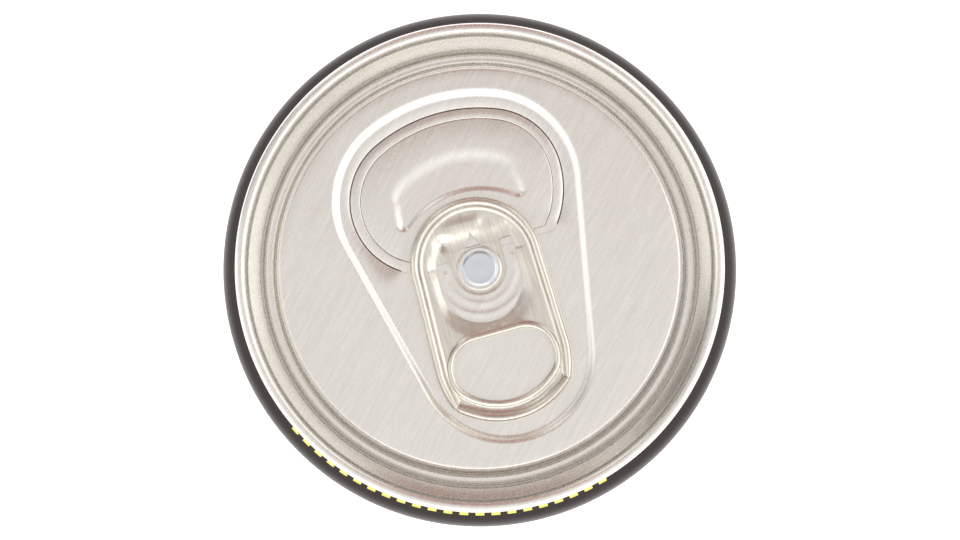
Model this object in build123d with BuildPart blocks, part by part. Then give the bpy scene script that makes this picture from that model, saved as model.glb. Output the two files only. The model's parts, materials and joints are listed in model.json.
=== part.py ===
"""Drinks can with a stay-on tab: a drawn body, a seamed end, a scored pour panel and a riveted tab.

Millimetres. The origin is the centre of the stand ring's resting face, +Z is up, and +Y points
from the rivet to the pour side of the end.
"""

from build123d import *
import math
import os

# ---------------------------------------------------------------- driving dimensions
can_height = 145.5          # resting face to the top of the seam
body_radius = 28.7          # outside of the wall

dome_gauge = 0.26           # sheet left at the base, which isn't ironed
wall_gauge = 0.11           # ironed wall
neck_gauge = 0.16           # neck and flange
end_gauge = 0.22            # sheet of the end
tab_gauge = 0.27            # sheet of the tab

dome_height = 10.0          # crown of the dome above the resting face
dome_radius = 44.0          # spherical dome
dome_edge = 3.0             # what the dome's edge bend takes off its arc
stand_radius = 23.4         # middle of the stand ring
stand_width = 1.6           # the stand ring's bead, between its two legs
stand_lean = 0.4            # how far its inner leg leans in, up to the dome
stand_bend = 0.55           # radius of the bead's two bends
dome_rim_bend = 1.2         # radius where the dome turns down into the inner leg
chime_bend = 6.0            # radii where the chime meets the wall, the wall the neck,
shoulder_of_neck = 7.0      # and the neck its upright collar
collar_bend = 4.0
chime_height = 7.0          # the cone from the stand ring to the wall
neck_height = 4.1           # the straight cone of the neck
neck_drop = 4.4             # top of the neck's cone below the top of the seam

seam_radius = 27.05         # outside of the seam
seam_height = 2.5
hook_gap = 0.03             # what the compound leaves between the seam's layers
end_hook_length = 1.75      # cover hook
body_hook_length = 1.35     # body hook
compound_depth = 0.16       # gasket above the body hook
compound_margin = 0.3       # gasket's edges to the sheet on either side

panel_depth = 4.5           # top of the seam to the centre panel
countersink_depth = 6.6     # top of the seam to the bottom of the countersink
countersink_radius = 23.45  # middle of the countersink groove
countersink_width = 1.1
panel_radius = 22.7         # the panel's wall
chuck_lean = 0.2            # the chuck wall's lean inside the seam
chuck_foot_radius = 24.3    # foot of the wall's sloping part, where it turns down to the countersink
chuck_foot_drop = 4.4       # and its depth below the top of the seam
seam_bend = 0.5             # radii along the end's section: top of the seam, foot of its inner wall,
chuck_bend = 1.5            # foot of the sloping part, countersink and edge of the centre panel
chuck_foot_bend = 0.9
countersink_bend = 0.5
panel_bend = 0.8

recess_depth = 0.45         # teardrop recess below the centre panel
recess_bevel = 1.0          # width of its sloping edge
recess_top_radius = 20.1    # arc about the rivet at the pour side
recess_corner_radius = 10.8
recess_half_width = 14.1
recess_heel_radius = 10.1   # arc at the heel side
recess_heel_centre = -9.8

score_top_radius = 17.9     # arc of the score about the rivet
score_corner_radius = 8.1
score_half_width = 12.0
score_gap = 0.1             # between the pour panel and the end, once the score parts
guard_inset = 1.15          # the second groove, inside the score
guard_width = 0.3
guard_depth = 0.08

bean_low_radius = 9.6       # stiffening bead on the pour panel: the arc of its side towards the rivet
bean_low_centre = -0.95
bean_high_radius = 11.9     # the arc of its far side
bean_high_centre = 1.7
bean_length = 15.2
bean_low_corner = 0.95
bean_high_corner = 2.0
bean_bevel = 0.5
bean_depth = 0.25

shank_radius = 1.55         # rivet
shank_clearance = 0.05
rivet_margin = 0.1          # sheet left between the rivet and the line that the pour panel bends on
rivet_flange_radius = 2.45
rivet_flange_height = 0.2
button_radius = 1.86
button_height = 0.2         # above the flange

tab_turn = -1.4             # the riveted tab sits a little off the end's own line
tab_centre = -0.2           # middle of the tab beside the rivet
tab_clearance = 0.15        # tab above the recess
tab_height = 1.3            # over the curled rims
tab_half_width = 7.6
nose_radius = 7.4
nose_centre = 0.6
heel_corner_y = -14.6
heel_corner_x = 6.6
heel_corner_radius = 1.2
heel_tip = -17.35
shoulder_y = -11.6          # where the tab's sides turn in towards the heel
shoulder_bend = 9.0         # radius of that turn
rim_width = 1.15            # curled rim round the tab
rim_mouth = 0.3             # gap that the curl leaves on the underside
rim_bend = 0.4              # round of the curl
hole_half_width = 5.65
hole_top = -7.65
hole_bottom = -14.9
hole_corner_radius = 2.6
hole_heel_radius = 7.0      # arc of the hole's side towards the heel
hole_rim_width = 0.75
hole_rim_height = 0.8

tab_hinge_y = 2.6           # line that the tab bends on, in front of the rivet
tab_hinge_gap = 0.1
island_radius = 2.95
slot_radius = 4.6           # outer edge of the C slot round the island
slot_centre = -1.4
slot_arm = 2.0              # how far the C slot's arms reach past the rivet
vent_tip = 4.2              # three-cornered window in front of the rivet
vent_half_width = 1.4

# ---------------------------------------------------------------- heights and places worked out from them
seam_top = can_height
seam_bottom = seam_top - seam_height
panel_top = seam_top - panel_depth
recess_top = panel_top - recess_depth
tab_bottom = recess_top + tab_clearance
tear_hinge_y = shank_radius + rivet_margin
tab_right = (math.cos(math.radians(tab_turn)), math.sin(math.radians(tab_turn)), 0)

# radii of the seam's layers, from the outside in
body_hook_inside = seam_radius - end_gauge - hook_gap - neck_gauge
end_hook_outside = body_hook_inside - hook_gap
end_hook_inside = end_hook_outside - end_gauge
neck_outside = end_hook_inside - hook_gap
chuck_radius = neck_outside - neck_gauge - hook_gap - end_gauge
body_hook_top = seam_top - end_gauge - compound_depth

os.makedirs("parts", exist_ok=True)


# ---------------------------------------------------------------- helpers
def beside(corner, before, after, gauge_before, gauge_after):
    """The corner of a sheet's other face: where the two offset lines to its left meet."""
    x1, y1 = corner[0] - before[0], corner[1] - before[1]
    x2, y2 = after[0] - corner[0], after[1] - corner[1]
    n1 = (-y1 / math.hypot(x1, y1), x1 / math.hypot(x1, y1))
    n2 = (-y2 / math.hypot(x2, y2), x2 / math.hypot(x2, y2))
    det = n1[0] * n2[1] - n1[1] * n2[0]
    dx = (gauge_before * n2[1] - gauge_after * n1[1]) / det
    dy = (gauge_after * n1[0] - gauge_before * n2[0]) / det
    return (corner[0] + dx, corner[1] + dy)


def left_of(point, start, end, gauge):
    """The point moved to the left of the line from start to end."""
    x, y = end[0] - start[0], end[1] - start[1]
    length = math.hypot(x, y)
    return (point[0] - y / length * gauge, point[1] + x / length * gauge)


def drawn_sheet(points, radii, gauges):
    """Half section of a drawn sheet: one face follows the points, and its gauge lies to their left."""
    other = [left_of(points[0], points[0], points[1], gauges[0])]
    other_radii = []
    for i in range(1, len(points) - 1):
        before, corner, after = points[i - 1], points[i], points[i + 1]
        other.append(beside(corner, before, after, gauges[i - 1], gauges[i]))
        turn = (Vector(corner) - Vector(before)).cross(Vector(after) - Vector(corner)).Z
        other_radii.append(radii[i - 1] - math.copysign((gauges[i - 1] + gauges[i]) / 2, turn))
    other.append(left_of(points[-1], points[-2], points[-1], gauges[-1]))
    with BuildSketch() as section:
        with BuildLine():
            FilletPolyline(*points, radius=radii)
            FilletPolyline(*other, radius=other_radii)
            Line(points[0], other[0])
            Line(points[-1], other[-1])
        make_face()
    return section.sketch


def write(piece, name):
    """Label a finished piece and write its STEP file."""
    piece.part.label = name
    export_step(piece.part, f"parts/{name}.step")


def tab_plane(height):
    """A plane across the tab at a height, turned with it about the rivet."""
    return Plane(origin=(0, 0, height), x_dir=tab_right, z_dir=(0, 0, 1))


def corner_circle(top_radius, half_width, corner_radius):
    """Centre of the corner arc that touches the arc about the rivet and the widest line."""
    x = half_width - corner_radius
    return (x, math.sqrt((top_radius - corner_radius) ** 2 - x * x))


def on_circle(centre, radius, degrees):
    """A point on a circle."""
    a = math.radians(degrees)
    return (centre[0] + radius * math.cos(a), centre[1] + radius * math.sin(a))


def teardrop(inset):
    """The recess's outline, drawn in by an inset: three arcs above and one at the heel, joined by tangents."""
    top = recess_top_radius - inset
    corner = recess_corner_radius - inset
    heel = recess_heel_radius - inset
    centre = corner_circle(recess_top_radius, recess_half_width, recess_corner_radius)
    heel_centre = (0, recess_heel_centre)
    top_angle = math.degrees(math.atan2(centre[1], centre[0]))
    span = math.hypot(centre[0], centre[1] - heel_centre[1])
    lean = math.degrees(math.atan2(centre[0], centre[1] - heel_centre[1]))
    side = -lean + math.degrees(math.asin((heel - corner) / span))
    with BuildSketch() as outline:
        with BuildLine():
            ThreePointArc(on_circle((0, 0), top, 180 - top_angle), (0, top), on_circle((0, 0), top, top_angle))
            for mirror_x in (1, -1):
                flip = lambda p: (mirror_x * p[0], p[1])
                a = on_circle((0, 0), top, top_angle)
                b = on_circle(centre, corner, (top_angle + side) / 2)
                c = on_circle(centre, corner, side)
                d = on_circle(heel_centre, heel, side)
                ThreePointArc(flip(a), flip(b), flip(c))
                Line(flip(c), flip(d))
            ThreePointArc(d, (0, heel_centre[1] - heel), (-d[0], d[1]))
        make_face()
    return outline.sketch


def pour_outline(inset):
    """The score's outline, drawn in by an inset, closed by the line that the panel bends on."""
    top = score_top_radius - inset
    corner = score_corner_radius - inset
    centre = corner_circle(score_top_radius, score_half_width, score_corner_radius)
    top_angle = math.degrees(math.atan2(centre[1], centre[0]))
    hinge = tear_hinge_y + inset
    foot = math.degrees(math.asin((hinge - centre[1]) / corner))
    with BuildSketch() as outline:
        with BuildLine():
            ThreePointArc(on_circle((0, 0), top, 180 - top_angle), (0, top), on_circle((0, 0), top, top_angle))
            for mirror_x in (1, -1):
                flip = lambda p: (mirror_x * p[0], p[1])
                a = on_circle((0, 0), top, top_angle)
                b = on_circle(centre, corner, (top_angle + foot) / 2)
                c = on_circle(centre, corner, foot)
                ThreePointArc(flip(a), flip(b), flip(c))
            Line(c, (-c[0], c[1]))
        make_face()
    return outline.sketch


def bean_outline(inset):
    """The stiffening bead on the pour panel: between two arcs, cut off upright and rounded at its ends."""
    with BuildSketch() as outline:
        with Locations((0, bean_high_centre)):
            Circle(bean_high_radius - inset)
        with Locations((0, bean_low_centre)):
            Circle(bean_low_radius + inset, mode=Mode.SUBTRACT)
        with Locations((0, bean_high_centre + bean_high_radius / 2)):
            Rectangle(bean_length - 2 * inset, bean_high_radius, mode=Mode.INTERSECT)
        fillet(outline.vertices().group_by(Axis.Y)[0], bean_low_corner - inset / 2)
        fillet(outline.vertices().group_by(Axis.Y)[-1], bean_high_corner - inset)
    return outline.sketch


def tab_outline(inset):
    """The tab's outline, drawn in by an inset: round nose, straight sides and a curved heel."""
    left, right = tab_centre - tab_half_width, tab_centre + tab_half_width
    nose_tip = nose_centre + nose_radius
    with BuildSketch() as outline:
        with BuildLine():
            ThreePointArc((left, nose_centre), (tab_centre, nose_tip), (right, nose_centre))
            Polyline((right, nose_centre), (right, shoulder_y), (tab_centre + heel_corner_x, heel_corner_y))
            ThreePointArc(
                (tab_centre + heel_corner_x, heel_corner_y),
                (tab_centre, heel_tip),
                (tab_centre - heel_corner_x, heel_corner_y),
            )
            Polyline((tab_centre - heel_corner_x, heel_corner_y), (left, shoulder_y), (left, nose_centre))
        make_face()
        fillet(outline.vertices().group_by(Axis.Y)[0], heel_corner_radius)
        fillet(outline.vertices().filter_by(lambda v: abs(v.Y - shoulder_y) < 0.1), shoulder_bend)
        if inset:
            offset(amount=-inset, kind=Kind.INTERSECTION, mode=Mode.REPLACE)
    return outline.sketch


def finger_hole(grow):
    """The finger hole's outline, grown by a margin: straight in front, an arc along the heel."""
    with BuildSketch() as outline:
        with Locations((tab_centre, (hole_top + hole_bottom) / 2)):
            Rectangle(2 * hole_half_width, hole_top - hole_bottom)
        with Locations((tab_centre, hole_bottom + hole_heel_radius)):
            Circle(hole_heel_radius, mode=Mode.INTERSECT)
        fillet(outline.vertices().group_by(Axis.Y)[-1], hole_corner_radius)
        if grow:
            offset(amount=grow, kind=Kind.ARC, mode=Mode.REPLACE)
    return outline.sketch


# ---------------------------------------------------------------- can body
stand_inner = stand_radius - stand_width / 2
stand_outer = stand_radius + stand_width / 2
dome_rim = stand_inner - stand_lean
dome_angle = math.asin(dome_rim / dome_radius)
dome_corner = dome_radius * math.tan(dome_angle / 2)
dome_rim_height = dome_height - (dome_rim - dome_corner) * math.tan(dome_angle)
neck_top = seam_top - neck_drop
body_points = [
    (0, dome_height),
    (dome_corner, dome_height),
    (dome_rim, dome_rim_height),
    (stand_inner, 0),
    (stand_outer, 0),
    (body_radius, chime_height),
    (body_radius, neck_top - neck_height),
    (neck_outside, neck_top),
    (neck_outside, body_hook_top - neck_gauge),
    (body_hook_inside, body_hook_top - neck_gauge),
    (body_hook_inside, body_hook_top - body_hook_length),
]
hook_bend = 0.48 * (body_hook_inside - neck_outside)
body_radii = [dome_radius - dome_edge, dome_rim_bend, stand_bend, stand_bend]
body_radii += [chime_bend, shoulder_of_neck, collar_bend, hook_bend, hook_bend]
body_gauges = [dome_gauge] * 5 + [wall_gauge] + [neck_gauge] * 4

body_section = drawn_sheet(body_points, body_radii, body_gauges)

with BuildPart() as can_body:
    with BuildSketch(Plane.XZ):
        add(body_section)
    revolve(axis=Axis.Z)
write(can_body, "can_body")

# ---------------------------------------------------------------- can end, with its rivet
end_points = [
    (end_hook_inside, seam_bottom + end_hook_length),
    (end_hook_inside, seam_bottom),
    (seam_radius, seam_bottom),
    (seam_radius, seam_top),
    (chuck_radius, seam_top),
    (chuck_radius - chuck_lean, seam_bottom),
    (chuck_foot_radius, seam_top - chuck_foot_drop),
    (countersink_radius + countersink_width / 2, seam_top - countersink_depth),
    (countersink_radius - countersink_width / 2, seam_top - countersink_depth),
    (panel_radius, panel_top),
    (0, panel_top),
]
end_bend = 0.48 * (seam_radius - end_hook_inside)
end_radii = [end_bend, end_bend, seam_bend, seam_bend, chuck_bend, chuck_foot_bend]
end_radii += [countersink_bend, countersink_bend, panel_bend]

end_section = drawn_sheet(end_points, end_radii, [end_gauge] * (len(end_points) - 1))
recess_edge = teardrop(0)
recess_floor = teardrop(recess_bevel)
pour_opening = pour_outline(0)

with BuildPart() as can_end:
    with BuildSketch(Plane.XZ):
        add(end_section)
    revolve(axis=Axis.Z)
    # the teardrop recess: a block pressed down under the panel, then the hollow above it
    for top, mode in ((panel_top - end_gauge, Mode.ADD), (panel_top, Mode.SUBTRACT)):
        with BuildSketch(Plane.XY.offset(top)):
            add(recess_edge)
        with BuildSketch(Plane.XY.offset(top - recess_depth)):
            add(recess_floor)
        loft(ruled=True, mode=mode)
    # the opening that the score leaves once the pour panel has parted
    with BuildSketch(Plane.XY.offset(recess_top - 2 * end_gauge)):
        add(pour_opening)
    extrude(amount=4 * end_gauge, mode=Mode.SUBTRACT)
    # the rivet: a hollow shank, a flange staked over the tab and a button
    flange_bottom = tab_bottom + tab_gauge + shank_clearance
    flange_top = flange_bottom + rivet_flange_height
    with BuildSketch(Plane.XZ):
        with BuildLine():
            Polyline(
                (0, recess_top - end_gauge / 2),
                (shank_radius, recess_top - end_gauge / 2),
                (shank_radius, flange_bottom),
                (rivet_flange_radius, flange_bottom),
                (rivet_flange_radius, flange_top),
                (button_radius, flange_top),
                (button_radius, flange_top + button_height),
                (0, flange_top + button_height),
                close=True,
            )
        make_face()
    revolve(axis=Axis.Z)
    with BuildSketch(Plane.XY.offset(recess_top - 2 * end_gauge)):
        Circle(shank_radius - end_gauge)
    extrude(amount=flange_top - recess_top + 2 * end_gauge, mode=Mode.SUBTRACT)
write(can_end, "can_end")

# ---------------------------------------------------------------- pour panel
pour_edge = pour_outline(score_gap)
guard_outside = pour_outline(guard_inset)
guard_inside = pour_outline(guard_inset + guard_width)
bean_edge = bean_outline(0)
bean_floor = bean_outline(bean_bevel)

with BuildPart() as tear_panel:
    with BuildSketch(Plane.XY.offset(recess_top - end_gauge)):
        add(pour_edge)
    extrude(amount=end_gauge)
    for top, mode in ((recess_top - end_gauge, Mode.ADD), (recess_top, Mode.SUBTRACT)):
        with BuildSketch(Plane.XY.offset(top)):
            add(bean_edge)
        with BuildSketch(Plane.XY.offset(top - bean_depth)):
            add(bean_floor)
        loft(ruled=True, mode=mode)
    with BuildSketch(Plane.XY.offset(recess_top)):
        add(guard_outside)
        add(guard_inside, mode=Mode.SUBTRACT)
    extrude(amount=-guard_depth, mode=Mode.SUBTRACT)
write(tear_panel, "tear_panel")

# ---------------------------------------------------------------- rivet island of the tab
island_front = tab_hinge_y - tab_hinge_gap / 2
with BuildPart() as rivet_island:
    with BuildSketch(tab_plane(tab_bottom)):
        Circle(island_radius)
        with Locations((0, island_front / 2)):
            Rectangle(2 * island_radius, island_front)
        Circle(shank_radius + shank_clearance, mode=Mode.SUBTRACT)
    extrude(amount=tab_gauge)
write(rivet_island, "rivet_island")

# ---------------------------------------------------------------- ring pull: nose, rims and finger ring
tab_edge = tab_outline(0)
curl_outside = tab_outline(tab_gauge)
curl_lip = tab_outline(rim_width - tab_gauge - rim_mouth)
curl_inside = tab_outline(rim_width - tab_gauge)
well_edge = tab_outline(rim_width)
hole_edge = finger_hole(0)
hole_rim = finger_hole(hole_rim_width)

with BuildPart() as ring_pull:
    with BuildSketch(tab_plane(tab_bottom)):
        add(tab_edge)
    extrude(amount=tab_height)
    by_height = ring_pull.edges().group_by(Axis.Z)
    fillet(by_height[-1] + by_height[0], rim_bend)
    # the well inside the curled rim, down to the web
    with BuildSketch(tab_plane(tab_bottom + tab_gauge)):
        add(well_edge)
    extrude(amount=tab_height, mode=Mode.SUBTRACT)
    # the hollow of the curl, and its mouth on the underside
    with BuildSketch(tab_plane(tab_bottom + tab_gauge)):
        add(curl_outside)
        add(curl_inside, mode=Mode.SUBTRACT)
    extrude(amount=tab_height - 2 * tab_gauge, mode=Mode.SUBTRACT)
    with BuildSketch(tab_plane(tab_bottom)):
        add(curl_lip)
        add(curl_inside, mode=Mode.SUBTRACT)
    extrude(amount=tab_gauge, mode=Mode.SUBTRACT)
    # the finger hole and the smaller curl round it
    with BuildSketch(tab_plane(tab_bottom)):
        add(hole_rim)
    extrude(amount=hole_rim_height)
    with BuildSketch(tab_plane(tab_bottom - tab_gauge)):
        add(hole_edge)
    extrude(amount=tab_height, mode=Mode.SUBTRACT)
    # the C slot with the island's place, open to the bending line
    with BuildSketch(tab_plane(tab_bottom - tab_gauge)):
        with Locations((tab_centre, slot_centre)):
            Circle(slot_radius)
        with Locations((tab_centre, (slot_centre + slot_arm) / 2)):
            Rectangle(2 * slot_radius, slot_arm - slot_centre)
        with Locations((0, island_front / 2)):
            Rectangle(2 * island_radius + 2 * tab_hinge_gap, island_front + tab_hinge_gap * 2)
        with BuildLine():
            Polyline((-vent_half_width, tab_hinge_y), (vent_half_width, tab_hinge_y), (0, vent_tip), close=True)
        make_face()
    extrude(amount=2 * tab_height, mode=Mode.SUBTRACT)
write(ring_pull, "ring_pull")

# ---------------------------------------------------------------- sealing compound
with BuildPart() as sealing_compound:
    compound_inside = chuck_radius + end_gauge + compound_margin
    compound_outside = seam_radius - end_gauge - compound_margin
    with BuildSketch(Plane.XZ):
        with Locations(((compound_inside + compound_outside) / 2, body_hook_top + compound_depth / 2)):
            Rectangle(compound_outside - compound_inside, compound_depth - hook_gap)
    revolve(axis=Axis.Z)
write(sealing_compound, "sealing_compound")
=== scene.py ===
# %% [markdown]
# # A drinks can, seen from above
# A slim drinks can is two aluminium stampings and a riveted tab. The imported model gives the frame:
# every size and place below starts from its boxes and joints, and the meshes made here stand for its
# nodes with finer shapes and real finishes.

# %% Load the frame
import bpy
import bmesh
import json
import math
from mathutils import Matrix, Vector


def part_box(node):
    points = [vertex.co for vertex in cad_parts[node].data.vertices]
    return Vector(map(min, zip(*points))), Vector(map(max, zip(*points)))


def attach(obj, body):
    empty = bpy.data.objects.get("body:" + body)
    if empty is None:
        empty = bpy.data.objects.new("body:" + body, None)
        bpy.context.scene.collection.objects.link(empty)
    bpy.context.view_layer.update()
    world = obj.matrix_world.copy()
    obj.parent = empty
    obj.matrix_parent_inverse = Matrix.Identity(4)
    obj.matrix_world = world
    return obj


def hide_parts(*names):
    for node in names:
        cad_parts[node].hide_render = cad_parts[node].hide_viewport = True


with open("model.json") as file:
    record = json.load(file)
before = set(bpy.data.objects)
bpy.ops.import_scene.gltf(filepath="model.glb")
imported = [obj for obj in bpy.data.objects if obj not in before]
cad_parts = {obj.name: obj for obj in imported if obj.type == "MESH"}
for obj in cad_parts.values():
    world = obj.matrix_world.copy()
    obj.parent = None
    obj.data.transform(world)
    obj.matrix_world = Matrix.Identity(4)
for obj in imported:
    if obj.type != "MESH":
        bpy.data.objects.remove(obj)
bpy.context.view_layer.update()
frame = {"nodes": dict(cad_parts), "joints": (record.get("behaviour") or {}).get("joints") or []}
MM = 0.001                    # the shapes are drawn in millimetres
RECESS_DEPTH = 0.45           # from the centre panel down to the floor of the teardrop recess

seam_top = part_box("can_end")[1][2] / MM
seam_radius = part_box("can_end")[1][0] / MM
body_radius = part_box("can_body")[1][0] / MM
recess_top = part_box("tear_panel")[1][2] / MM
tab_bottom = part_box("ring_pull")[0][2] / MM
tab_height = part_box("ring_pull")[1][2] / MM - tab_bottom
panel_top = recess_top + RECESS_DEPTH
joints = {joint["name"]: joint for joint in frame["joints"]}
lift_axis = joints["tab_lift"]["axis"]
tab_turn = math.atan2(-lift_axis[1], -lift_axis[0])
tab_hinge_y = Vector(joints["tab_lift"]["pos_m"]).to_2d().length / MM
tear_hinge_y = joints["panel_bend"]["pos_m"][1] / MM
print("seam radius", round(seam_radius, 2), "and top", round(seam_top, 2), "mm")
print("tab turned", round(math.degrees(tab_turn), 2), "degrees, bend line at", round(tab_hinge_y, 2), "mm")


# %% [markdown]
# ## Outlines made of arcs
# Press tools are turned and ground, so every outline on a can end is a chain of arcs with straight
# tangents between them. One list of arcs, in millimetres and degrees anticlockwise, is enough to draw
# an outline at any inset: an arc that bulges outwards loses the inset from its radius, and one that
# bulges inwards gains it. Rows of such loops, joined by the bridge operator, make every pressed edge.

# %% Outline and band helpers
GROOVE_SHADE_FROM = 2.3                # mm from the rivet towards the mouth where the painted shade in the score's groove starts; nearer than this nothing is scored


def outline(arcs, inset=0.0, spacing=0.3):
    """Points round a closed chain of arcs (x, y, radius, from, to); inset is mm, or a function of x and y."""
    def at(arc, angle, moved):
        x, y, radius, start, end = arc
        a = math.radians(angle)
        base = Vector((x + radius * math.cos(a), y + radius * math.sin(a)))
        if not moved or not radius:
            return base
        shift = (inset(*base) if callable(inset) else inset) * (1 if end >= start else -1)
        return Vector((x, y)) + (base - Vector((x, y))) * max(radius - shift, 0.02) / radius

    points = []
    for before, arc, after in zip(arcs[-1:] + arcs, arcs, arcs[1:] + arcs[:1]):
        start, end = arc[3:]
        steps = max(1, round(abs(math.radians(end - start)) * arc[2] / spacing)) if arc[2] else 0
        joined = (at(before, before[4], False) - at(arc, start, False)).length < 0.01
        for k in range(1 if joined else 0, steps + 1):
            points.append(at(arc, start + (end - start) * k / max(steps, 1), True))
        gap = int((at(arc, end, False) - at(after, after[3], False)).length / spacing)
        foot, head = at(arc, end, True), at(after, after[3], True)
        points += [foot.lerp(head, k / gap) for k in range(1, gap)]
    return [tuple(point) for point in points]


def loop(bm, points, height):
    """A closed loop of edges at one height, or at the height that a function gives."""
    verts = [bm.verts.new((x, y, height(x, y) if callable(height) else height)) for x, y in points]
    return [bm.edges.new((verts[i - 1], verts[i])) for i in range(len(verts))]


def press(bm, arcs, steps, spacing=0.3, cut=()):
    """Bands between loops at each (inset, height) step. The bands listed in cut get the second material,
    the painted shade of the score's groove, but for the strip that isn't scored."""
    loops = [loop(bm, outline(arcs, inset, spacing), height) for inset, height in steps]
    for k, (one, two) in enumerate(zip(loops, loops[1:])):
        for face in bmesh.ops.bridge_loops(bm, edges=one + two)["faces"]:
            # The second material is painted shade: the groove is drawn darker than the metal round it.
            face.material_index = 1 if k in cut and face.calc_center_median().y > GROOVE_SHADE_FROM else 0


def smooth(low, high, value):
    """0 below low, 1 above high, and an easy slope between."""
    t = min(1.0, max(0.0, (value - low) / (high - low)))
    return t * t * (3 - 2 * t)


def s_bend(width, drop, count, level):
    """Steps of a pressed bevel, flat at both ends: insets over a width while the height falls by drop."""
    flat = width * 0.12
    slope = [(width * k / count, level - drop * smooth(0, count, k)) for k in range(count + 1)]
    return [(-flat, level)] + slope + [(width + flat, level - drop)]


print("a 4 mm by 10 mm slot has", len(outline([(3, 0, 2, -90, 90), (-3, 0, 2, 90, 270)])), "points")


# %% [markdown]
# ## Flat sheet, plain or bent
# Most of a can end is flat metal between two outlines. The triangle fill operator makes it from the
# edge loops alone, holes included. Where a die has left a slope or a dimple, the subdivide operator
# splits the same triangles until they are small enough to bend, and a height function moves their
# points. A displace modifier could bend them too, but it needs a texture for what is a short formula.

# %% Sheet helper
def sheet(bm, loops, level, size=0.0, height=None, held=0):
    """Flat sheet between loops of points. With a size its triangles are split to about that size, and
    a height function then bends it, but for the first held loops, which stay level."""
    part = bmesh.new()
    rims = [loop(part, points, level) for points in loops]
    bmesh.ops.triangle_fill(part, use_beauty=True, edges=sum(rims, []), normal=(0, 0, 1))
    for _ in range(6 if size else 0):
        inner = [edge for edge in part.edges if len(edge.link_faces) == 2]
        long_ones = [edge for edge in inner if edge.calc_length() > size * 1.4]
        if not long_ones:
            break
        bmesh.ops.subdivide_edges(part, edges=long_ones, cuts=1)
        bmesh.ops.triangulate(part, faces=part.faces)
        inner = [edge for edge in part.edges if len(edge.link_faces) == 2]
        bmesh.ops.beautify_fill(part, faces=part.faces, edges=inner)
    held_points = {(round(x, 4), round(y, 4)) for points in loops[:held] for x, y in points}
    for vert in part.verts:
        if height and (round(vert.co.x, 4), round(vert.co.y, 4)) not in held_points:
            vert.co.z = height(vert.co.x, vert.co.y)
    mesh = bpy.data.meshes.new("sheet")
    part.to_mesh(mesh)
    part.free()
    bm.from_mesh(mesh)
    bpy.data.meshes.remove(mesh)


# %% [markdown]
# ## Turned shapes
# A can is round because its tools are, so the body and the round part of the end are each a path of
# points that the spin operator turns once about the axis. The path's corners are rounded first, because
# sheet metal has no sharp bends. A bevel modifier would round them afterwards, but all to one radius.

# %% Turning helpers
def circle(radius, steps):
    """Points of a circle, starting where a turned shape starts."""
    return outline([(0, 0, radius, 0, 360)], 0, math.tau * radius / steps)


def rounded(points, radii, steps=6):
    """A path of points with its corners rounded, for turning about the can's axis."""
    path = [Vector(points[0])]
    for before, corner, after, radius in zip(points, points[1:], points[2:], radii):
        corner = Vector(corner)
        one, two = (Vector(before) - corner).normalized(), (Vector(after) - corner).normalized()
        half = math.acos(max(-1.0, min(1.0, one.dot(two)))) / 2
        centre = corner + (one + two).normalized() * radius / math.sin(half)
        first = corner + one * radius / math.tan(half) - centre
        sweep = (math.pi - 2 * half) * (1 if one.x * two.y - one.y * two.x < 0 else -1)
        path += [centre + Matrix.Rotation(sweep * k / steps, 2) @ first for k in range(steps + 1)]
    return path + [Vector(points[-1])]


def lathe(bm, path, steps=256):
    """A path of (radius, height) points, turned once about the can's axis."""
    verts = [bm.verts.new((p[0], 0, p[1])) for p in path]
    edges = [bm.edges.new(pair) for pair in zip(verts, verts[1:])]
    bmesh.ops.spin(bm, geom=verts + edges, cent=(0, 0, 0), axis=(0, 0, 1), dvec=(0, 0, 0),
                   angle=math.tau, steps=steps, use_merge=True)


print("a rounded right angle takes", len(rounded([(0, 0), (5, 0), (5, 5)], [1])), "points")


# %% [markdown]
# ## From a drawing to a piece
# Each piece is drawn in millimetres as the outer face of its sheet. It is then welded, scaled to metres,
# and given its gauge inwards by a solidify modifier. The modifier is applied at once, because the edges
# that come with the gauge are sheared, and they have to be marked sharp on the finished mesh: a sheared
# edge that is shaded smooth shows as a bright line. Last, the piece is put on its body of the frame.

# %% Finishing helper
SHARP = math.radians(40)      # edges that turn by more than this are shaded sharp


def finish_mesh(bm, name, body, node, materials, gauge, turn=0.0):
    """Welds a mesh drawn in mm, gives it its gauge and puts it on its body in place of its CAD node."""
    bmesh.ops.remove_doubles(bm, verts=bm.verts, dist=0.0005)
    bmesh.ops.recalc_face_normals(bm, faces=bm.faces)
    highest = max(bm.faces, key=lambda face: face.calc_center_median().z)
    if highest.normal.z < 0:
        bmesh.ops.reverse_faces(bm, faces=bm.faces)
    bmesh.ops.rotate(bm, verts=bm.verts, cent=(0, 0, 0), matrix=Matrix.Rotation(turn, 3, "Z"))
    bmesh.ops.scale(bm, verts=bm.verts, vec=(MM, MM, MM))
    for face in bm.faces:
        face.smooth = True
    mesh = bpy.data.meshes.new(name)
    bm.to_mesh(mesh)
    bm.free()
    piece = bpy.data.objects.new(name, mesh)
    bpy.context.collection.objects.link(piece)
    for material in materials:
        mesh.materials.append(material)
    solid = piece.modifiers.new("gauge", "SOLIDIFY")
    solid.thickness = gauge * MM
    solid.offset = -1
    thick = bpy.data.meshes.new_from_object(piece.evaluated_get(bpy.context.evaluated_depsgraph_get()))
    piece.modifiers.clear()
    piece.data = thick
    thick.set_sharp_from_angle(angle=SHARP)
    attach(piece, body)
    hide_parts(node)
    heights = [round(vert.co.z / MM, 2) for vert in thick.vertices]
    print(name, "has", len(thick.polygons), "faces, from", min(heights), "to", max(heights), "mm high")


# %% [markdown]
# ## Colours and nodes
# A colour picker gives sRGB values, and the renderer works in linear light, so every colour goes
# through one function. A material is a handful of nodes, and one function adds a node with its settings,
# its values and its links, which keeps each material short enough to read.

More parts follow.
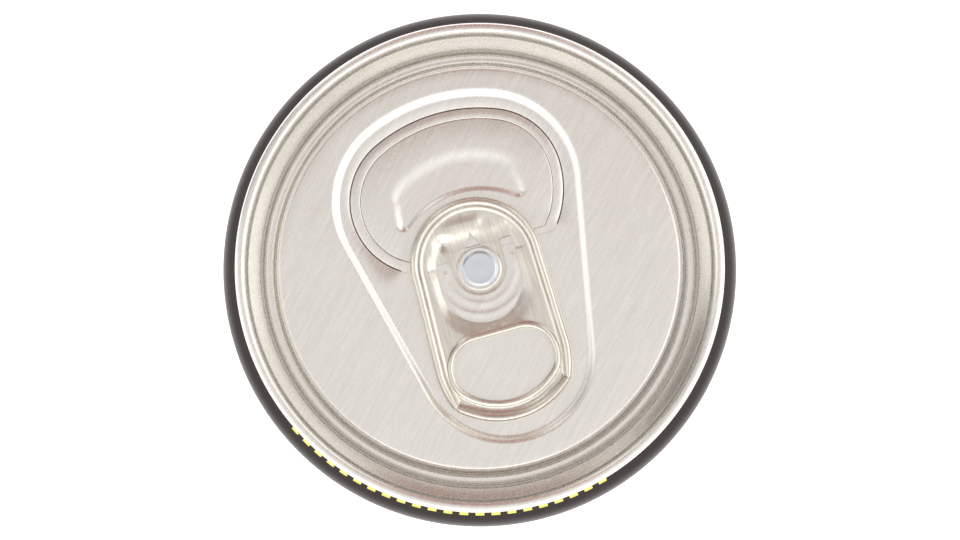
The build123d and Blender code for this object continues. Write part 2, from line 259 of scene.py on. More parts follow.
# %% Colour and node helpers
def linear(hex_value):
    """An sRGB hex colour as linear RGBA."""
    parts = [int(hex_value[i:i + 2], 16) / 255 for i in (1, 3, 5)]
    return tuple(c / 12.92 if c <= 0.04045 else ((c + 0.055) / 1.055) ** 2.4 for c in parts) + (1.0,)


def mix(tree, mask, under, over):
    """The colour node that lays a hex colour over another colour, or over a socket, where the mask is 1."""
    node = add(tree, "ShaderNodeMix", {"data_type": "RGBA"}, {"Factor": mask})
    if isinstance(under, str):
        node.inputs[6].default_value = linear(under)
    else:
        tree.links.new(under, node.inputs[6])
    node.inputs[7].default_value = linear(over)
    return node.outputs[2]


def new_material(name):
    """An empty node material with a principled shader."""
    material = bpy.data.materials.new(name)
    material.use_nodes = True
    return material, material.node_tree, material.node_tree.nodes["Principled BSDF"]


def add(tree, kind, settings=None, links=None, **values):
    """Adds a node: settings are its properties, values its inputs by name, links its inputs by socket."""
    node = tree.nodes.new(kind)
    for key, value in (settings or {}).items():
        setattr(node, key, value)
    for key, value in values.items():
        node.inputs[key.replace("_", " ")].default_value = value
    for key, socket in (links or {}).items():
        tree.links.new(socket, node.inputs[key])
    return node


print("middle grey is", round(linear("#808080")[0], 3), "in linear light")


# %% [markdown]
# ## Rolled aluminium
# End and tab stock is cold-rolled 5182 alloy with a clear lacquer. The rolls leave fine parallel lines,
# so the surface is a metal with grain that is long one way and short across. A noise stretched along
# one direction gives the streaks in the tone and the gloss and a very low bump. On the real sheet the
# lines are a few hundredths of a millimetre apart, too fine to show, so they are drawn about 0.1 mm
# apart. The rivet's head is ironed by its punch, so it has a smoother patch, and a cool tint painted
# on it with the same nodes is a painted reflection.

# %% Rolled aluminium
GRAIN_STRETCH = 16            # a streak's length over its width
STREAK_WIDTH = 3.5            # the wide streaks over the fine grain
HEAD_EDGE = (1.9, 2.05)       # mm from the rivet's axis where the head's painted cool reflection and its smoother gloss fade out


def rolled_aluminium(name, colour, shade, roughness, grain_turn, grain_mm, depth, head=None):
    """Metal with rolled grain turned by grain_turn degrees; head is a cool tint painted on the rivet's head
    as its reflection.
    """
    material, tree, shader = new_material(name)
    place = add(tree, "ShaderNodeTexCoord")
    turned = add(tree, "ShaderNodeMapping", {"vector_type": "TEXTURE"}, {"Vector": place.outputs["Object"]},
                 Rotation=(0, 0, math.radians(grain_turn)), Scale=(GRAIN_STRETCH, 1, 1))
    grain = add(tree, "ShaderNodeTexNoise", links={"Vector": turned.outputs[0]},
                Scale=1 / (grain_mm * MM), Detail=3.0, Roughness=0.6)
    streaks = add(tree, "ShaderNodeTexNoise", links={"Vector": turned.outputs[0]},
                  Scale=1 / (STREAK_WIDTH * grain_mm * MM), Detail=2.0)
    both = add(tree, "ShaderNodeMath", {"operation": "MULTIPLY"},
               {0: grain.outputs["Fac"], 1: streaks.outputs["Fac"]})
    spread = add(tree, "ShaderNodeMapRange", links={"Value": both.outputs[0]}, From_Min=0.12, From_Max=0.4)
    base = mix(tree, spread.outputs[0], shade, colour)
    gloss = add(tree, "ShaderNodeMapRange", links={"Value": spread.outputs[0]},
                To_Min=roughness * 0.92, To_Max=roughness * 1.08)
    bump = add(tree, "ShaderNodeBump", links={"Height": grain.outputs["Fac"]}, Strength=depth,
               Distance=0.02 * MM)
    rough = gloss.outputs[0]
    if head:
        axes = add(tree, "ShaderNodeSeparateXYZ", links={0: place.outputs["Object"]})
        flat = add(tree, "ShaderNodeCombineXYZ", links={0: axes.outputs["X"], 1: axes.outputs["Y"]})
        away = add(tree, "ShaderNodeVectorMath", {"operation": "LENGTH"}, {0: flat.outputs[0]})
        near = add(tree, "ShaderNodeMapRange", links={"Value": away.outputs["Value"]},
                   From_Min=HEAD_EDGE[0] * MM, From_Max=HEAD_EDGE[1] * MM, To_Min=1.0, To_Max=0.0)
        # The head's cool tint is a painted reflection.
        base = mix(tree, near.outputs[0], base, head)
        shine = add(tree, "ShaderNodeMix", links={"Factor": near.outputs[0], "A": rough})
        shine.inputs["B"].default_value = 0.2
        rough = shine.outputs[0]
    tree.links.new(base, shader.inputs["Base Color"])
    tree.links.new(rough, shader.inputs["Roughness"])
    tree.links.new(bump.outputs[0], shader.inputs["Normal"])
    shader.inputs["Metallic"].default_value = 1.0
    return material


# Lacquered end stock. Its grain runs at 45 degrees to the pour panel's axis.
# The rivet head's cool tint is a painted reflection.
end_metal = rolled_aluminium("rolled_aluminium_end_stock", "#ECEAE6", "#E1DEDA", 0.27, 45, 0.11, 0.06,
                             head="#D5DBE3")
# Tab stock, which is a little warmer and glossier, with its grain along the tab.
tab_metal = rolled_aluminium("rolled_aluminium_tab_stock", "#E2DED6", "#D2CDC4", 0.24, 90, 0.08, 0.08)
# Painted shade in the score's groove: the end metal drawn darker, with a duller gloss, for the shade between
# the groove's walls.
groove_shade_metal = rolled_aluminium("score_groove_painted_shade", "#8C7B70", "#75665C", 0.45, 45, 0.11, 0.06)
print("metals:", end_metal.name, tab_metal.name, groove_shade_metal.name)


# %% [markdown]
# ## Printed body
# The body is rolled against a blanket that prints its ink and a clear varnish over it. The print stops
# above the stand ring, where the bare aluminium of the base shows, and a band of plain yellow dashes
# runs part of the way round the neck. An image texture would need the body unwrapped. Masks made of
# heights and angles in Object coordinates put each mark at its real place in millimetres instead.

# %% Varnished ink
BARE_BELOW = 4.5              # mm above the stand ring where the print starts
DASH_BAND = (6.25, 4.8)       # mm below the top of the seam, the band's lower and upper edges
DASH_ARC = (-157.5, -75)      # degrees about the can's axis, from the side on the right of the mouth
DASHES_PER_TURN = 96


def printed_body():
    """Black ink under varnish on aluminium, with bare metal at the base and a dashed band on the neck."""
    material, tree, shader = new_material("varnished_black_ink_on_aluminium")
    place = add(tree, "ShaderNodeTexCoord")
    axes = add(tree, "ShaderNodeSeparateXYZ", links={0: place.outputs["Object"]})

    def between(socket, low, high):
        """A mask that is 1 where a value lies between two limits."""
        above = add(tree, "ShaderNodeMath", {"operation": "GREATER_THAN"}, {0: socket})
        above.inputs[1].default_value = low
        below = add(tree, "ShaderNodeMath", {"operation": "LESS_THAN"}, {0: socket})
        below.inputs[1].default_value = high
        return times(above.outputs[0], below.outputs[0])

    def times(one, two):
        """The product of two masks, which is where both are 1."""
        return add(tree, "ShaderNodeMath", {"operation": "MULTIPLY"}, {0: one, 1: two}).outputs[0]

    speck = add(tree, "ShaderNodeTexNoise", links={"Vector": place.outputs["Object"]}, Scale=900.0,
                Detail=2.0)
    ink = mix(tree, speck.outputs["Fac"], "#1C1210", "#241916")
    angle = add(tree, "ShaderNodeMath", {"operation": "ARCTAN2"},
                {0: axes.outputs["Y"], 1: axes.outputs["X"]})
    turns = add(tree, "ShaderNodeMath", {"operation": "MULTIPLY"}, {0: angle.outputs[0]})
    turns.inputs[1].default_value = DASHES_PER_TURN / math.tau
    share = add(tree, "ShaderNodeMath", {"operation": "FRACT"}, {0: turns.outputs[0]})
    low, high = ((seam_top - below) * MM for below in DASH_BAND)
    marks = times(between(share.outputs[0], 0.2, 0.75), between(axes.outputs["Z"], low, high))
    dash = times(marks, between(angle.outputs[0], math.radians(DASH_ARC[0]), math.radians(DASH_ARC[1])))
    bare = between(axes.outputs["Z"], -1.0, BARE_BELOW * MM)
    colour = mix(tree, bare, mix(tree, dash, ink, "#E0DB72"), "#D8D5D1")
    tree.links.new(colour, shader.inputs["Base Color"])
    tree.links.new(bare, shader.inputs["Metallic"])
    shader.inputs["Roughness"].default_value = 0.28
    shader.inputs["Specular IOR Level"].default_value = 0.07
    return material


body_ink = printed_body()
print("ink:", body_ink.name, "with", len(body_ink.node_tree.nodes), "nodes")


# %% [markdown]
# ## The drawn body
# A can body is one sheet: a domed base, a narrow stand ring, an ironed wall and a neck whose edge the
# seam folds over. Every point of it is turned about one axis. A cylinder could be cut and scaled into
# it, but a spun profile says in one list what a can maker's drawing says.

# %% Drawn body
DOME_HEIGHT = 10.0
CHIME_HEIGHT = 7.0            # where the wall starts above the stand ring
SHOULDER_DROP = 8.5           # from the top of the seam down to the shoulder
NECK_DROP = 4.4               # and down to the foot of the upright neck
WALL_GAUGE = 0.11


def drawn_body():
    """The body's outer face, turned, with the sheet's thickness inwards."""
    neck = seam_radius - 0.69
    points = [(0, DOME_HEIGHT), (11.78, DOME_HEIGHT), (22.2, 4.0), (22.6, 0), (24.2, 0),
              (body_radius, CHIME_HEIGHT), (body_radius, seam_top - SHOULDER_DROP),
              (neck, seam_top - NECK_DROP), (neck, seam_top - 0.55)]
    bm = bmesh.new()
    lathe(bm, rounded(points, [41.0, 1.2, 0.55, 0.55, 6.0, 7.0, 4.0], 10))
    finish_mesh(bm, "drawn_body", "can", "can_body", [body_ink], WALL_GAUGE)


drawn_body()


# %% [markdown]
# ## Outlines on the end
# Two shapes are pressed into the centre panel: the teardrop recess, which keeps the tab below the rim,
# and the score of the pour panel inside it. Both are arcs about the rivet at the top, with a corner arc
# on each side. They could be traced as free curves, but arcs that touch each other need only a few
# radii, and the tangent points follow from them.

# %% Outlines on the end
SCORE_START = 1.8             # mm from the rivet towards the mouth where the score begins


def corner_centre(top_radius, half_width, corner_radius):
    """Centre of a corner arc inside the arc about the rivet, touching the widest upright line."""
    x = half_width - corner_radius
    return x, math.sqrt((top_radius - corner_radius) ** 2 - x * x)


def teardrop_arcs(top=20.1, corner=10.8, half_width=14.1, heel=10.1, heel_y=-9.8):
    """The recess's outline: an arc about the rivet, two corners, and the heel's arc, joined by tangents."""
    x, y = corner_centre(top, half_width, corner)
    high = math.degrees(math.atan2(y, x))
    span = math.hypot(x, y - heel_y)
    side = -math.degrees(math.atan2(x, y - heel_y)) + math.degrees(math.asin((heel - corner) / span))
    return [(x, y, corner, side, high), (0, 0, top, high, 180 - high),
            (-x, y, corner, 180 - high, 180 - side), (0, heel_y, heel, 180 - side, 360 + side)]


def pour_arcs(hinge, top=17.9, corner=8.1, half_width=12.0):
    """The score's outline, closed by the line that the pour panel bends on."""
    x, y = corner_centre(top, half_width, corner)
    high = math.degrees(math.atan2(y, x))
    wide = 11.0
    wide_x = half_width - wide
    left_foot = math.degrees(math.asin((hinge - y) / corner))
    right_foot = math.degrees(math.asin((hinge - y) / wide))
    return [(wide_x, y, wide, right_foot, 0), (x, y, corner, 0, high), (0, 0, top, high, 180 - high),
            (-x, y, corner, 180 - high, 180 - left_foot)]


def scored(depth, start=SCORE_START):
    """Height along a groove in the recess's floor that fades out towards the unscored strip."""
    return lambda x, y: recess_top - depth * smooth(start, start + 1.2, y)


print("points on the recess", len(outline(teardrop_arcs())), "and on the score",
      len(outline(pour_arcs(tear_hinge_y))))


# %% [markdown]
# ## The seamed end
# The end is stamped flat, curled, and then rolled on to the body's flange. From outside to inside it
# has the seam, the chuck wall, the countersink groove, the centre panel, and the recess. Its rivet isn't
# a separate piece: it is a bubble of the same sheet, drawn up through the tab and flattened. The round
# parts are turned, and the recess is a press of the teardrop outline. The floor is filled flat, with
# one field of fine triangles that carries the two beads seen through the tab's slot.

# %% Seamed end
END_GAUGE = 0.2
SEAM_HEIGHT = 2.5
WALL_FOOT = (24.3, 4.4)       # radius of the sloping wall's foot, and its drop from the top of the seam
GROOVE_DROP = 6.6             # from the top of the seam down to the countersink's floor
FLAT_RADIUS = 21.2            # where the turned part of the centre panel gives way to the filled part
RIVET_STEPS = 96
BEADS = ((3.9, 0.06, 0.2), (5.1, 0.07, 0.22))     # radius, height and half width of each bead
BEAD_FIELD = [(0, 0.9, 6.6, 180, 360), (0, 0.9, 2.7, 360, 180)]


def rivet_path():
    """Half section of the rivet: its foot in the recess, the shank, the flange and the punched head."""
    foot = [(1.75, recess_top), (1.6, recess_top + 0.06), (1.55, recess_top + 0.2)]
    head = [(1.55, 0.33), (2.3, 0.33), (2.42, 0.38), (2.42, 0.46), (2.3, 0.5), (2.0, 0.49), (1.9, 0.53),
            (1.86, 0.68), (1.78, 0.74), (1.6, 0.735), (1.2, 0.70), (0.7, 0.71), (0.3, 0.725), (0, 0.73)]
    return foot + [(radius, tab_bottom + height) for radius, height in head]


def beaded(x, y):
    """Height of the floor with the two beads round the rivet, which fade out towards the mouth."""
    r = math.hypot(x, y)
    rise = sum(height * math.exp(-((r - radius) / half) ** 2) for radius, height, half in BEADS)
    return recess_top + rise * smooth(0.0, 0.5, 0.9 - y)


def seamed_end():
    """The whole end with its rivet, apart from the pour panel."""
    bm = bmesh.new()
    hook = seam_radius - 0.66
    chuck = seam_radius - 1.1
    seam_foot, groove = seam_top - SEAM_HEIGHT, seam_top - GROOVE_DROP
    points = [(hook, seam_top - 0.8), (hook, seam_foot), (seam_radius, seam_foot), (seam_radius, seam_top),
              (chuck, seam_top), (chuck - 0.2, seam_foot), (WALL_FOOT[0], seam_top - WALL_FOOT[1]),
              (24.0, groove), (22.9, groove), (22.7, panel_top), (FLAT_RADIUS, panel_top)]
    lathe(bm, rounded(points, [0.32, 0.32, 0.5, 0.5, 1.5, 0.9, 0.5, 0.5, 0.8], 8))
    edge = s_bend(1.0, RECESS_DEPTH, 10, panel_top)
    press(bm, teardrop_arcs(), edge)
    sheet(bm, [circle(FLAT_RADIUS, 256), outline(teardrop_arcs(), edge[0][0])], panel_top)
    lip = [(-0.05, recess_top), (-0.03, scored(0.01)), (0.02, scored(0.06))]
    # The score's bands get the painted groove shade.
    press(bm, pour_arcs(tear_hinge_y), lip, 0.25, cut=(0, 1))
    lathe(bm, rivet_path(), RIVET_STEPS)
    field = outline(BEAD_FIELD, 0, 0.2)
    loops = [outline(teardrop_arcs(), edge[-1][0]), outline(pour_arcs(tear_hinge_y), lip[0][0], 0.25),
             circle(1.75, RIVET_STEPS), field]
    sheet(bm, loops, recess_top)
    sheet(bm, [field], recess_top, 0.2, height=beaded, held=1)
    finish_mesh(bm, "seamed_end", "can", "can_end", [end_metal, groove_shade_metal], END_GAUGE)


seamed_end()


# %% [markdown]
# ## The pour panel
# The score is a knife groove that leaves a tenth of a millimetre of metal, so that the panel tears there.
# A second, shallower groove inside it draws the metal in so that the first doesn't crack by itself, and
# a bead stiffens the middle. The panel could be drawn as a groove on the end, but it bends down when the
# can is opened, so it is its own piece. Its steps go inwards from the score, band after band.

# %% Pour panel
BEAD_DEPTH = 0.22
GUARD_START = 2.9             # mm from the rivet where the guard groove begins


def bean_arcs(half=7.6, low=9.6, low_y=-0.95, high=11.9, high_y=1.7, low_corner=0.95, high_corner=2.6):
    """The stiffening bead: a wide arc above, a bowed-in arc below, and round ends."""
    x1 = half - high_corner
    y1 = high_y + math.sqrt((high - high_corner) ** 2 - x1 * x1)
    x2 = half - low_corner
    y2 = low_y + math.sqrt((low + low_corner) ** 2 - x2 * x2)
    high_angle = math.degrees(math.atan2(y1 - high_y, x1))
    low_angle = math.degrees(math.atan2(y2 - low_y, x2))
    return [(x2, y2, low_corner, low_angle - 180, 0), (x1, y1, high_corner, 0, high_angle),
            (0, high_y, high, high_angle, 180 - high_angle), (-x1, y1, high_corner, 180 - high_angle, 180),
            (-x2, y2, low_corner, 180, 360 - low_angle), (0, low_y, low, 180 - low_angle, low_angle)]


def pour_panel():
    """The scored panel with its second groove and its bead."""
    bm = bmesh.new()
    arcs = pour_arcs(tear_hinge_y + 0.01)
    score = [(0.035, recess_top - END_GAUGE), (0.035, scored(0.06)), (0.08, scored(0.01)), (0.1, recess_top)]
    groove = [(1.06, 0), (1.1, 0.006), (1.16, 0.03), (1.2, 0.036), (1.24, 0.03), (1.3, 0.006), (1.34, 0)]
    steps = score + [(inset, scored(depth, GUARD_START)) for inset, depth in groove]
    # The bands of the score and of the guard groove get the painted groove shade.
    press(bm, arcs, steps, 0.25, cut=(0, 1, 2, 6, 7))

    def inset_at(share):
        """A share of the bead's slope, which is steep beside the tab and wide towards the mouth."""
        def at(x, y):
            far = math.hypot(x, y + 0.95)
            return share * (0.5 + 0.6 * smooth(9.9, 11.6, far) + 0.5 * smooth(12.0, 13.0, far))
        return at

    bead = [(inset_at(share), height) for share, height in s_bend(1.0, BEAD_DEPTH, 8, recess_top)]
    press(bm, bean_arcs(), bead, 0.25)
    sheet(bm, [outline(arcs, steps[-1][0], 0.25), outline(bean_arcs(), bead[0][0], 0.25)], recess_top)
    sheet(bm, [outline(bean_arcs(), bead[-1][0], 0.25)], recess_top - BEAD_DEPTH)
    finish_mesh(bm, "pour_panel", "pour_panel", "tear_panel", [end_metal, groove_shade_metal], END_GAUGE)


pour_panel()


# %% [markdown]
# ## The tab's outlines
# The tab is one strip, folded in a progressive die. Seen from above it has four outlines: its rim, the
# finger hole, the C-shaped slot with the bend line in front of the rivet, and the island inside the
# slot. A Bezier curve could follow them by eye. Arcs are kept here too, so that the curled rims, which
# are insets of the same outlines, stay parallel to them.

# %% Tab outlines
TAB_X = -0.2                  # the tab's middle line, mm from the rivet's axis
TAB_GAUGE = 0.22
WEB_LEVEL = 0.62              # heights of the web beside the slot and of the island over the underside
ISLAND_LEVEL = 0.27
BEND_GAP = 0.012              # between the lever and the island, where the real strip bends
CURL_HEIGHT = 1.3
hinge_line = tab_hinge_y + BEND_GAP / 2


def tab_arcs():
    """The tab's outline: round nose, nearly straight sides, turned-in shoulders and the heel's arc."""
    return [(TAB_X, 0.6, 7.4, -1, 181), (TAB_X + 2.4, -10.2, 10.1, 180, 203.6),
            (TAB_X - 5.67, -13.72, 1.3, 203.6, 225.25), (TAB_X, -8.0, 9.35, 225.25, 314.75),
            (TAB_X + 5.67, -13.72, 1.3, 314.75, 336.4), (TAB_X - 2.4, -10.2, 10.1, 336.4, 360)]


def eased(inset):
    """An inset that is a fifth less at the heel's tight corners, where the curl bunches up."""
    def at(x, y):
        away = math.hypot(abs(x - TAB_X) - 6.6, y + 14.6)
        return inset * (1 - 0.22 * math.exp(-(away / 1.3) ** 2))
    return at


def hole_arcs():
    """The finger hole's outline."""
    return [(TAB_X + 2.65, -10.65, 3.0, 0, 90), (TAB_X - 2.65, -10.65, 3.0, 90, 180),
            (TAB_X - 3.05, -11.07, 2.6, 180, 226.1), (TAB_X, -7.9, 7.0, 226.1, 313.9),
            (TAB_X + 3.05, -11.07, 2.6, 313.9, 360)]


def slot_arcs():
    """What the lever leaves open round the island: the C slot, the bend line and the window."""
    return [(TAB_X, -1.35, 4.65, 180, 360), (3.98, 2.28, 0.47, 0, 90), (3.45, 2.28, 0.47, 90, 180),
            (2.98, hinge_line - 0.3, 0, 0, 0), (2.98, hinge_line, 0, 0, 0),
            (0.72, hinge_line, 0, 0, 0), (0.0, 4.2, 0, 0, 0), (-0.9, hinge_line, 0, 0, 0),
            (-3.08, hinge_line, 0, 0, 0), (-3.95, 1.0, 0.86, 0, 180)]


for title, arcs in (("rim", tab_arcs()), ("finger hole", hole_arcs()), ("slot", slot_arcs())):
    print("the", title, "has", len(outline(arcs, 0, 0.12)), "points")


# %% [markdown]
# ## The web of the tab
# Between its rims the tab is a thin web, and the die leaves it far from flat: dished round the slot,
# raised in the nose, low where the island starts, with dimples and one crease where the metal was
# gathered. These could be sculpted by hand. A sum of soft slopes and dents gives them a place and a
# depth in millimetres instead, so that they are the same on every run.

# %% Web height
NOSE_DENTS = ((-3.4, 3.9, 0.7, 0.34), (2.0, 5.2, 0.8, 0.26), (4.6, 3.9, 0.7, 0.30),   # x, y, reach, depth
              (-5.0, 1.6, 0.8, 0.16), (5.6, 1.0, 0.5, 0.14), (0.2, 6.3, 0.9, 0.12))


def web_height(x, y):
    """Height of the lever's web over the tab's underside."""
    rim_gap = 7.4 - 1.45 - math.hypot(x - TAB_X, y - 0.6) if y > 0.6 else 5.95 - abs(x - TAB_X)
    inside = smooth(0.0, 1.6, rim_gap)
    slot_gap = math.hypot(x - TAB_X, y + 1.35) - 4.65
    dish = 0.24 * (1 - smooth(0.0, 2.0, slot_gap)) + 0.08 * (1 - smooth(0.0, 0.25, slot_gap))
    nose = smooth(2.2, 4.4, y)
    height = WEB_LEVEL - inside * dish * (1 - nose) + 0.16 * inside * nose
    between = (1 - smooth(0.0, 2.9, math.hypot(max(abs(x) - 3.0, 0), max(y - 2.7, 0)))) * smooth(0.9, 1.3, y)
    height -= between * (height - ISLAND_LEVEL)
    for u, v, reach, depth in NOSE_DENTS:
        height -= depth * inside * math.exp(-((x - u) ** 2 + (y - v) ** 2) / reach ** 2)
    crease = math.exp(-(((x - 4.0) * 0.97 + (y - 5.8) * 0.23) / 0.35) ** 2)
    along = smooth(2.2, 3.2, y) * (1 - smooth(5.4, 6.4, y))
    return height + 0.10 * inside * crease * along


print("web beside the slot at", round(web_height(5.2, -2), 2), "and nose at", round(web_height(0, 6), 2))


# %% [markdown]
# ## The lever
# The lever's edge is curled right round, which makes the rim stiff and safe to touch, and a smaller
# curl rounds the finger hole. A curve with a round bevel would give a wire, not a folded edge with its
# web. So each curl is a press of its outline, where every step is one point of the curl's section, and
# the web is a filled sheet between the two curls and the slot.

# %% Lever
def folded(height):
    """A height on the curl, a fifth lower in the small folds at the heel's two corners."""
    def at(x, y):
        beside = ((abs(x - TAB_X) - 6.4) * 0.71 + (y + 14.4) * 0.71) / 0.1
        crease = math.exp(-beside ** 2) if y < -13.2 and abs(x - TAB_X) > 5.2 else 0.0
        return tab_bottom + height * tab_height / CURL_HEIGHT * (1 - 0.2 * crease)
    return at


def pull_tab():
    """The lever: curled rim, finger ring and web."""
    bm = bmesh.new()
    curl = [(0.72, 0.24), (0.56, 0.08), (0.38, 0.0), (0.2, 0.06), (0.07, 0.22), (0.0, 0.46), (0.015, 0.72),
            (0.08, 0.95), (0.2, 1.14), (0.37, 1.26), (0.56, 1.29), (0.74, 1.22), (0.9, 1.06), (1.04, 0.88),
            (1.18, 0.74), (1.32, 0.66), (1.45, WEB_LEVEL), (1.5, WEB_LEVEL)]
    curl = [(eased(inset), folded(height)) for inset, height in curl]
    press(bm, tab_arcs(), curl, 0.12)
    ring = [(-0.86, WEB_LEVEL), (-0.8, 0.63), (-0.7, 0.7), (-0.56, 0.82), (-0.38, 0.88), (-0.2, 0.84),
            (-0.07, 0.72), (0.0, 0.52), (-0.02, 0.32), (-0.12, 0.14), (-0.28, 0.06), (-0.44, 0.14)]
    ring = [(inset, tab_bottom + height) for inset, height in ring]
    press(bm, hole_arcs(), ring, 0.12)
    loops = [outline(tab_arcs(), curl[-1][0], 0.12), outline(hole_arcs(), ring[0][0], 0.12),
             outline(slot_arcs(), 0, 0.12)]
    sheet(bm, loops, tab_bottom + WEB_LEVEL, 0.3, lambda x, y: tab_bottom + web_height(x, y), held=2)
    finish_mesh(bm, "pull_tab", "tab_lever", "ring_pull", [tab_metal], TAB_GAUGE, tab_turn)


pull_tab()


# %% [markdown]
# ## The island
# The island is the tongue that the rivet clamps to the end. On the real tab it is the same strip as the
# lever, which bends along a line in front of the rivet. A bend could be blended between two bodies, but
# the fold is only as long as the sheet is thick, so the strip is cut at that line and the island is its
# own piece. A ring coined round the rivet's head is pressed a little into it.

# %% Island
COIN_RADIUS = 2.62
COIN_DEPTH = 0.05


def tab_island():
    """The tongue under the rivet's head."""
    bm = bmesh.new()
    front = tab_hinge_y - BEND_GAP / 2
    arcs = [(0, 0, 2.95, 180, 360), (2.965, front, 0, 0, 0), (0.74, front, 0, 0, 0), (0.95, 1.75, 0, 0, 0),
            (-1.45, 1.5, 0, 0, 0), (-0.92, front, 0, 0, 0), (-3.065, front, 0, 0, 0)]
    level = tab_bottom + ISLAND_LEVEL

    def coined(x, y):
        return level - COIN_DEPTH * math.exp(-((math.hypot(x, y) - COIN_RADIUS) / 0.16) ** 2)

    sheet(bm, [outline(arcs, 0, 0.2), circle(1.6, 60)], level, 0.25, height=coined)
    finish_mesh(bm, "tab_island", "tab_island", "rivet_island", [tab_metal], TAB_GAUGE, tab_turn)


tab_island()


# %% [markdown]
# ## The sealing compound
# The gasket is a water-based rubber that is laid in the end's curl and dries there, hidden in the seam.
# A new ring could be spun for it, but its CAD ring has the right shape already, so it stays and only
# gets its finish: matt and slightly mottled.

# %% Sealing compound
def sealing_rubber():
    """Dried sealing compound: a matt rubber with a faint mottle."""
    material, tree, shader = new_material("dried_sealing_compound_rubber")
    place = add(tree, "ShaderNodeTexCoord")
    mottle = add(tree, "ShaderNodeTexNoise", links={"Vector": place.outputs["Object"]}, Scale=2500.0)
    tone = mix(tree, mottle.outputs["Fac"], "#B9B2A4", "#D0C9BB")
    tree.links.new(tone, shader.inputs["Base Color"])
    shader.inputs["Roughness"].default_value = 0.7
    return material


compound = frame["nodes"]["sealing_compound"]
compound.data.materials.clear()
compound.data.materials.append(sealing_rubber())
print("gasket:", compound.data.materials[0].name)


# %% [markdown]
# ## The floor
# The can stands on a white sweep that is lit so brightly that its edge can't be seen. A floor lit only by
# lamps would need them so strong that the metal burns out, so this one glows a little by itself. It
# is one flat disc.

# %% Floor
VIEW_TURN = math.radians(17)        # the pour side leans this far to the left of the frame's top
frame_up = Vector((math.sin(VIEW_TURN), math.cos(VIEW_TURN), 0))
frame_right = Vector((math.cos(VIEW_TURN), -math.sin(VIEW_TURN), 0))


def put_on_stage(bm, name, material):
    """Makes a mesh in metres into a stage object."""
    mesh = bpy.data.meshes.new(name)
    bm.to_mesh(mesh)
    bm.free()
    mesh.materials.append(material)
    stage_object = bpy.data.objects.new(name, mesh)
    bpy.context.collection.objects.link(stage_object)
    print(name, "is on the stage")
    return stage_object


def white_floor():
    """A pale disc that glows a little, so that it stays white under soft light."""
    material, tree, shader = new_material("matt_white_floor")
    shader.inputs["Base Color"].default_value = linear("#F4F4F4")
    shader.inputs["Roughness"].default_value = 0.9
    shader.inputs["Emission Color"].default_value = linear("#FFFFFF")
    shader.inputs["Emission Strength"].default_value = 0.6
    bm = bmesh.new()
    bmesh.ops.create_circle(bm, cap_ends=True, segments=96, radius=1.6)
    put_on_stage(bm, "floor", material)


white_floor()


# %% [markdown]
# ## The light tent
# Bare metal shows what is round it more than its own colour, so the surround is the most important
# part of the light. A plain white world would make the end flat and chalky. This one is a white tent
# with soft patches, each a colour mixed in round one direction: greyer overhead, where the camera's
# opening is, warm and dark on the pour side, and a cool spot that the rivet's head and the tab mirror.

# %% Light tent
TENT_STRENGTH = 1.34
zenith = Vector((0, 0, 1))
TENT_PATCHES = (                    # colour, direction, and the angles where it is full and where it ends
    ("#DAD7D5", frame_up * 0.2 + zenith, 8, 55),
    ("#D2D0CE", zenith - frame_right * 0.6, 12, 32),
    ("#A37D77", frame_up + zenith * 0.35, 12, 34),
    ("#8E959C", frame_up * 0.3 - frame_right * 0.5 + zenith, 2, 13),
    ("#6E6866", frame_up * 0.8 - frame_right * 1.4 + zenith * 0.5, 8, 26))


def light_tent():
    """A white surround with the soft patches mixed in, one over the other."""
    world = bpy.data.worlds.new("light_tent")
    world.use_nodes = True
    bpy.context.scene.world = world
    tree = world.node_tree
    place = add(tree, "ShaderNodeTexCoord")
    colour = "#FFFDF9"
    for patch, towards, inner, outer in TENT_PATCHES:
        facing = add(tree, "ShaderNodeVectorMath", {"operation": "DOT_PRODUCT"},
                     {0: place.outputs["Generated"]})
        facing.inputs[1].default_value = towards.normalized()
        mask = add(tree, "ShaderNodeMapRange", {"interpolation_type": "SMOOTHSTEP"},
                   {"Value": facing.outputs["Value"]}, From_Min=math.cos(math.radians(outer)),
                   From_Max=math.cos(math.radians(inner)))
        colour = mix(tree, mask.outputs[0], colour, patch)
    back = tree.nodes["Background"]
    tree.links.new(colour, back.inputs["Color"])
    back.inputs["Strength"].default_value = TENT_STRENGTH


light_tent()
bpy.context.scene.view_settings.view_transform = "Standard"
print("tent with", len(TENT_PATCHES), "patches")


# %% [markdown]
# ## Soft boxes and the grey card
# Three soft boxes give the bevels, the rims and the seam their bright edges, from the right, the left
# and the near side. Smaller lamps would give hard spots on metal this glossy. A warm grey card over the
# pour side, just outside the frame, shades the metal towards it. The camera doesn't see the card.

# %% Soft boxes and card
SOFT_BOXES = (                      # name, side, size in metres, power in watts
    ("left_soft_box", -frame_right - frame_up * 0.2, (0.4, 0.6), 0.15),
    ("right_soft_box", frame_right, (0.4, 0.6), 0.45),
    ("near_soft_box", -frame_up, (0.6, 0.4), 0.5))
BOX_DISTANCE = 0.45
BOX_HEIGHT = 0.42


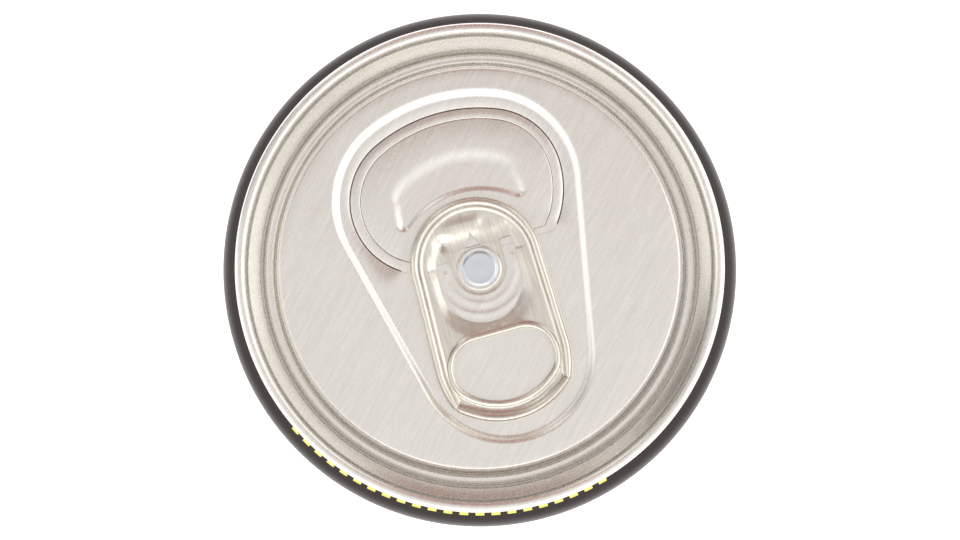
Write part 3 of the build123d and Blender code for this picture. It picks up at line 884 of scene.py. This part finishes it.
def soft_box(name, place, aim, size, power):
    """A rectangular area light that faces its aim."""
    light = bpy.data.lights.new(name, "AREA")
    light.shape = "RECTANGLE"
    light.size, light.size_y = size
    light.energy = power
    box = bpy.data.objects.new(name, light)
    box.location = place
    box.rotation_euler = (aim - place).to_track_quat("-Z", "Y").to_euler()
    bpy.context.collection.objects.link(box)
    print(name, power, "W")


def grey_card():
    """A square card, level, over the pour side."""
    material, tree, shader = new_material("warm_grey_card")
    shader.inputs["Base Color"].default_value = linear("#A0938E")
    shader.inputs["Roughness"].default_value = 0.9
    bm = bmesh.new()
    bmesh.ops.create_grid(bm, x_segments=1, y_segments=1, size=0.13)
    bmesh.ops.rotate(bm, verts=bm.verts, cent=(0, 0, 0), matrix=Matrix.Rotation(-VIEW_TURN, 3, "Z"))
    bmesh.ops.translate(bm, verts=bm.verts, vec=frame_up * 0.185 + zenith * (seam_top * MM + 0.3))
    card = put_on_stage(bm, "grey_card", material)
    card.visible_camera = False


lid = zenith * seam_top * MM
for name, side, size, power in SOFT_BOXES:
    soft_box(name, lid + side.normalized() * BOX_DISTANCE + zenith * BOX_HEIGHT, lid, size, power)
grey_card()


# %% [markdown]
# ## The camera
# The can is seen from almost straight above through a long lens, so the wall hides behind the shoulder.
# A camera could be turned by a tracking constraint, but a view this near to straight down leaves its
# roll to chance. Its three axes are written down instead, and they are its rotation matrix.

# %% Camera
TILT = math.radians(1.6)            # from straight down, towards the near side
DISTANCE = 740.0
look_at = Vector((0, 0, seam_top)) - 0.287 * frame_up + 0.022 * frame_right
lens = bpy.data.cameras.new("camera")
lens.sensor_width = 36.0
lens.lens = 251.5
lens.clip_start = 0.01
camera = bpy.data.objects.new("camera", lens)
backwards = zenith * math.cos(TILT) - frame_up * math.sin(TILT)
upwards = backwards.cross(frame_right)
turned = Matrix((frame_right, upwards, backwards)).transposed().to_4x4()
camera.matrix_world = Matrix.Translation((look_at + backwards * DISTANCE) * MM) @ turned
bpy.context.collection.objects.link(camera)
bpy.context.scene.camera = camera
print("camera", [round(value, 3) for value in camera.matrix_world.translation], "lens", lens.lens)
